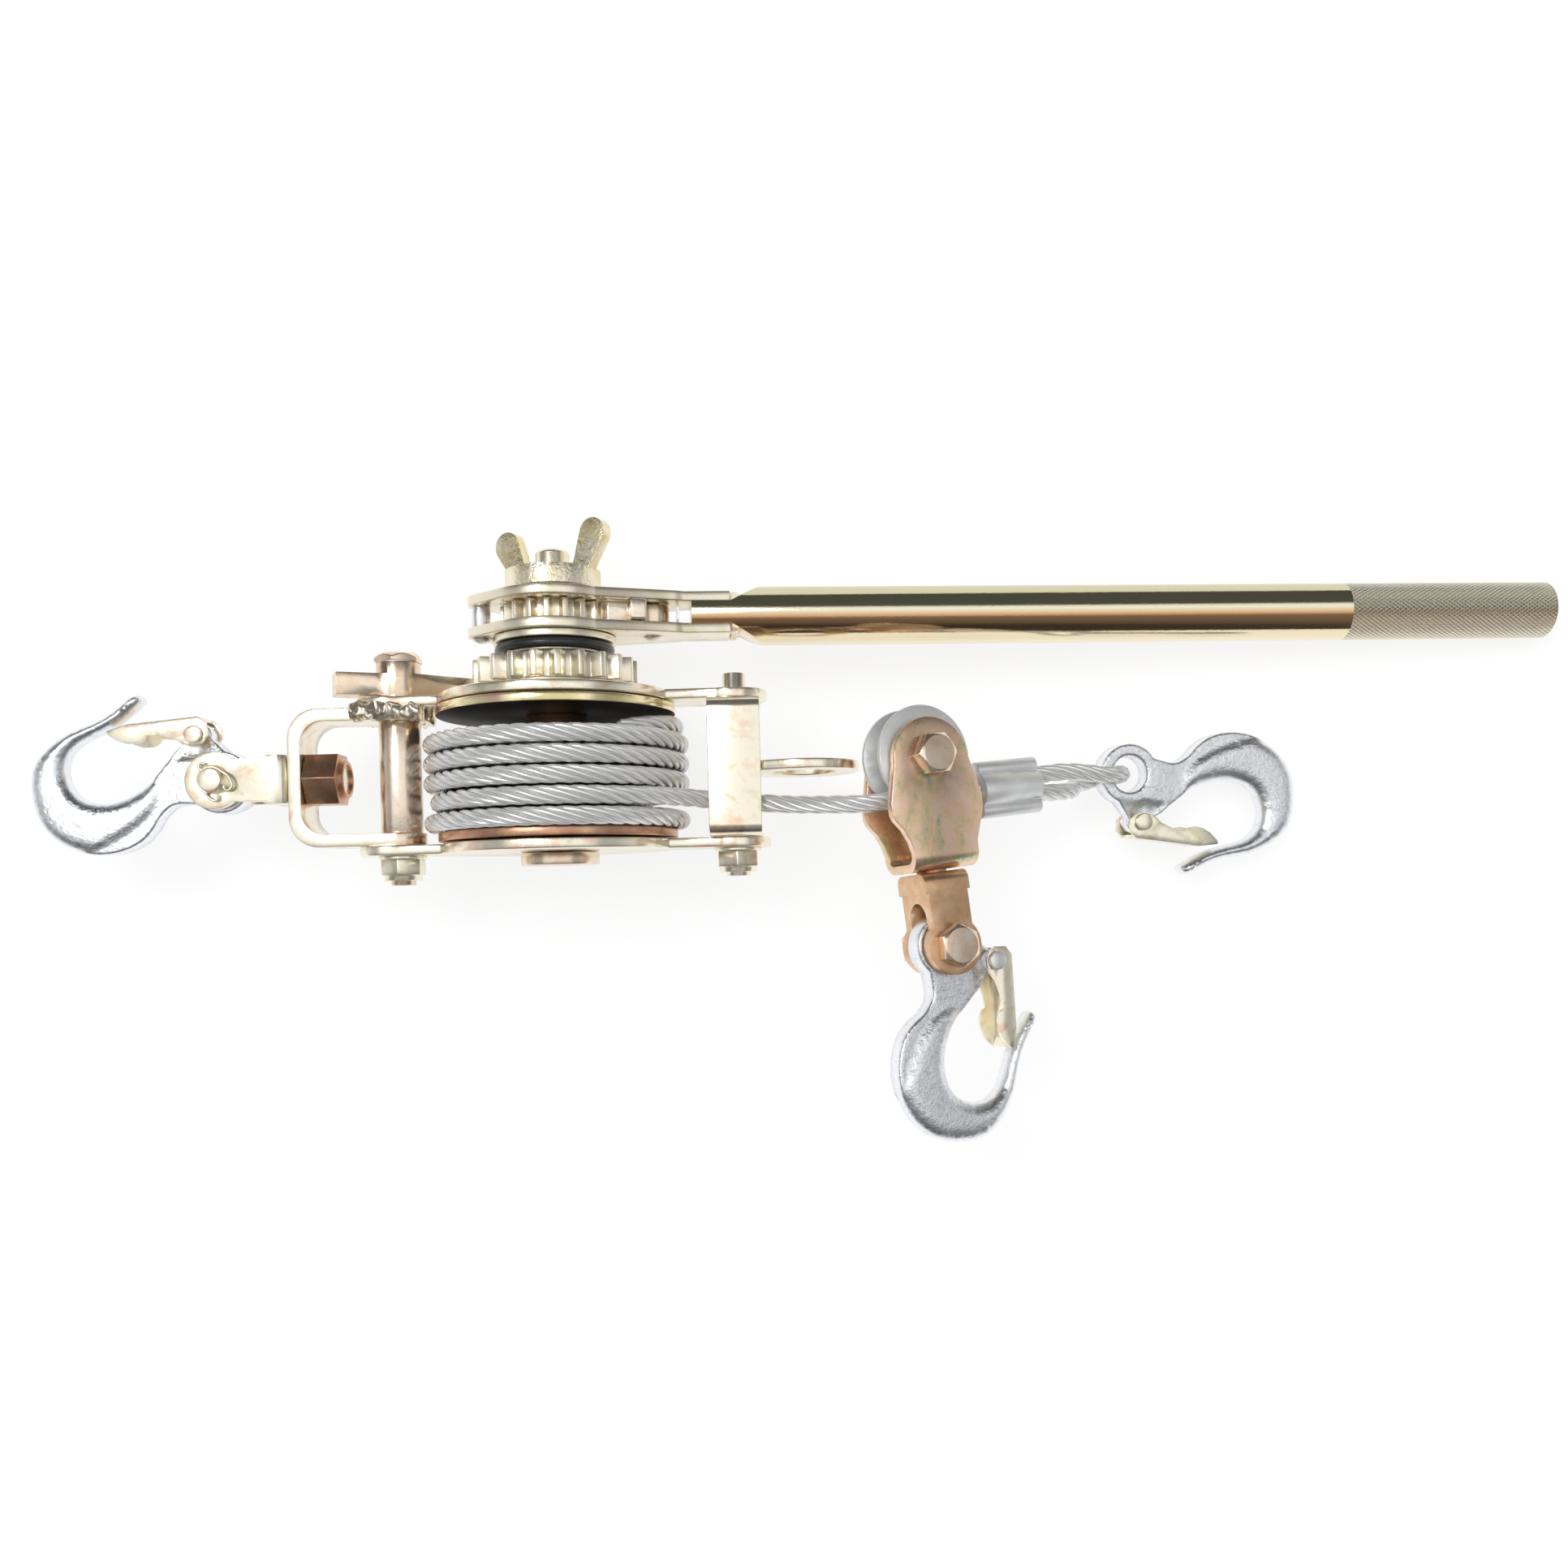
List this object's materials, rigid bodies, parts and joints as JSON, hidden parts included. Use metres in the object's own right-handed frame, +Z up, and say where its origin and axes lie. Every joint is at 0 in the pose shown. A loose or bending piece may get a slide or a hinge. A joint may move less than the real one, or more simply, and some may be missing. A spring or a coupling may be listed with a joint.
{
  "type": "come along winch",
  "caption": "Hand ratchet rope puller with a cable drum, long tube handle, swivel end hook, sheave block with hook and a rope end hook.",
  "frame": {"origin": "middle of the object's box, on the surface it lies on", "axes": "+X along the handle towards its end, +Y along the drum axis towards the wing nut, +Z up from the surface"},
  "size_m": [0.6466, 0.2537, 0.1071],
  "materials": {
    "gold_zinc": "yellow chromate over zinc",
    "bronze": "plain bearing bronze",
    "worked_steel": "yellow chromate on machined steel",
    "friction_lining": "dull friction lining",
    "rubber_ring": "glossy black rubber",
    "wire_rope": "bright galvanised wire",
    "grey_alloy": "satin cast alloy",
    "hook_steel": "bright zinc on a forging",
    "bright_steel": "bright steel"
  },
  "bodies": {
    "frame": {"upper_frame_plate": "gold_zinc", "lower_frame_plate": "gold_zinc", "end_bail": "gold_zinc", "bail_weld": "gold_zinc", "pawl_bolt": "gold_zinc", "pawl_bolt_tube": "worked_steel", "guard_bolt": "gold_zinc", "eye_plate_spacers": "gold_zinc", "frame_nuts": "gold_zinc", "rope_guard": "gold_zinc", "drum_bushes": "bronze", "holding_pawl_spring": "bright_steel", "rope_run": "wire_rope"},
    "drum": {"drum_shaft": "worked_steel", "drum_hub": "worked_steel", "upper_flange": "gold_zinc", "lower_flange": "gold_zinc", "thrust_washers": "worked_steel", "ratchet_wheel": "worked_steel", "friction_discs": "friction_lining", "handle_gear": "worked_steel", "rubber_ring": "rubber_ring", "shaft_collar": "worked_steel", "rope_core": "wire_rope", "rope_winding": "wire_rope"},
    "wing_nut": {"wing_nut": "gold_zinc"},
    "holding_pawl": {"holding_pawl": "worked_steel"},
    "handle": {"upper_head_plate": "gold_zinc", "lower_head_plate": "gold_zinc", "head_rivets": "bright_steel", "handle_tube": "gold_zinc", "handle_weld": "gold_zinc", "feed_pawl_spring": "bright_steel"},
    "feed_pawl": {"feed_pawl": "worked_steel"},
    "left_swivel": {"left_clevis": "gold_zinc", "left_swivel_nut": "gold_zinc", "left_pin": "bright_steel", "left_pin_clip": "gold_zinc"},
    "left_hook": {"left_hook": "hook_steel", "left_latch_screw": "bright_steel", "left_latch_spring": "bright_steel"},
    "left_latch": {"left_latch": "gold_zinc"},
    "eye_plate": {"eye_plate": "gold_zinc"},
    "block": {"block_plate": "gold_zinc", "sheave_bolt": "gold_zinc", "sheave_bush": "bronze", "sheave_washers": "worked_steel"},
    "sheave": {"sheave": "grey_alloy"},
    "lower_swivel": {"lower_clevis": "gold_zinc", "lower_bolt": "gold_zinc"},
    "lower_hook": {"lower_hook": "hook_steel", "lower_latch_rivet": "bright_steel", "lower_latch_spring": "bright_steel"},
    "lower_latch": {"lower_latch": "gold_zinc"},
    "rope_end": {"ferrule": "grey_alloy", "rope_eye": "wire_rope"},
    "right_hook": {"right_hook": "hook_steel", "right_latch_screw": "bright_steel", "right_latch_spring": "bright_steel"},
    "right_latch": {"right_latch": "gold_zinc"}
  },
  "joints": [
    {"name": "handle_swing", "type": "hinge", "parent": "frame", "child": "handle", "pos_m": [-0.1092, 0.0239, 0.0532], "axis": [0, 1, 0], "continuous": true},
    {"name": "drum_spin", "type": "hinge", "parent": "frame", "child": "drum", "pos_m": [-0.1092, 0.0239, 0.0532], "axis": [0, 1, 0], "range_deg": [0, 720]},
    {"name": "wing_nut_turn", "type": "hinge", "parent": "drum", "child": "wing_nut", "pos_m": [-0.1092, 0.0239, 0.0532], "axis": [0, 1, 0], "range_deg": [-180, 180]},
    {"name": "holding_pawl_swing", "type": "hinge", "parent": "frame", "child": "holding_pawl", "pos_m": [-0.1737, 0.0239, 0.0532], "axis": [0, -1, 0], "range_deg": [0, 7]},
    {"name": "feed_pawl_swing", "type": "hinge", "parent": "handle", "child": "feed_pawl", "pos_m": [-0.06888, 0.0239, 0.04939], "axis": [0, -1, 0], "range_deg": [0, 8]},
    {"name": "left_swivel", "type": "hinge", "parent": "frame", "child": "left_swivel", "pos_m": [-0.2165, 0.0239, 0.0532], "axis": [1, 0, 0], "continuous": true},
    {"name": "left_hook_swing", "type": "hinge", "parent": "left_swivel", "child": "left_hook", "pos_m": [-0.2464, 0.0239, 0.0532], "axis": [0, 0, -1], "range_deg": [-60, 60]},
    {"name": "left_latch_open", "type": "hinge", "parent": "left_hook", "child": "left_latch", "pos_m": [-0.2551, 0.043, 0.0532], "axis": [0, 0, 1], "range_deg": [0, 34], "stiffness_Nm_per_rad": 0.04, "springref_deg": -17.19},
    {"name": "eye_plate_swing", "type": "hinge", "parent": "frame", "child": "eye_plate", "pos_m": [-0.0362, 0.0239, 0.0532], "axis": [0, 1, 0], "range_deg": [0, 60]},
    {"name": "block_roll", "type": "hinge", "parent": "frame", "child": "block", "pos_m": [0.0378, 0.0094, 0.0702], "axis": [0.893, 0.1017, -0.4384], "range_deg": [-20, 45]},
    {"name": "sheave_spin", "type": "hinge", "parent": "block", "child": "sheave", "pos_m": [0.03605, 0.0248, 0.0702], "axis": [0.4356, 0.0496, 0.8988], "continuous": true},
    {"name": "lower_swivel", "type": "hinge", "parent": "block", "child": "lower_swivel", "pos_m": [0.04115, -0.02001, 0.0702], "axis": [-0.1132, 0.9936, 0], "continuous": true},
    {"name": "lower_hook_swing", "type": "hinge", "parent": "lower_swivel", "child": "lower_hook", "pos_m": [0.04458, -0.05011, 0.0702], "axis": [0.3722, 0.0424, 0.9272], "range_deg": [-50, 50]},
    {"name": "lower_latch_open", "type": "hinge", "parent": "lower_hook", "child": "lower_latch", "pos_m": [0.06316, -0.05675, 0.06305], "axis": [-0.3722, -0.0424, -0.9272], "range_deg": [0, 34], "stiffness_Nm_per_rad": 0.04, "springref_deg": -17.19},
    {"name": "rope_payout", "type": "slide", "parent": "frame", "child": "rope_end", "axis": [0.893, 0.1017, -0.4384], "range_m": [0, 0.632], "deforming": ["rope_run"]},
    {"name": "right_hook_swing", "type": "hinge", "parent": "rope_end", "child": "right_hook", "pos_m": [0.13067, 0.01998, 0.02461], "axis": [-0.1692, 0.0391, -0.9848], "range_deg": [-45, 45]},
    {"name": "right_latch_open", "type": "hinge", "parent": "right_hook", "child": "right_latch", "pos_m": [0.13473, -0.00056, 0.0231], "axis": [0.1692, -0.0391, 0.9848], "range_deg": [0, 34], "stiffness_Nm_per_rad": 0.04, "springref_deg": -17.19}
  ],
  "couplings": [
    {"joint": "rope_payout", "follows": "drum_spin", "m_per_rad": 0.0502}
  ]
}
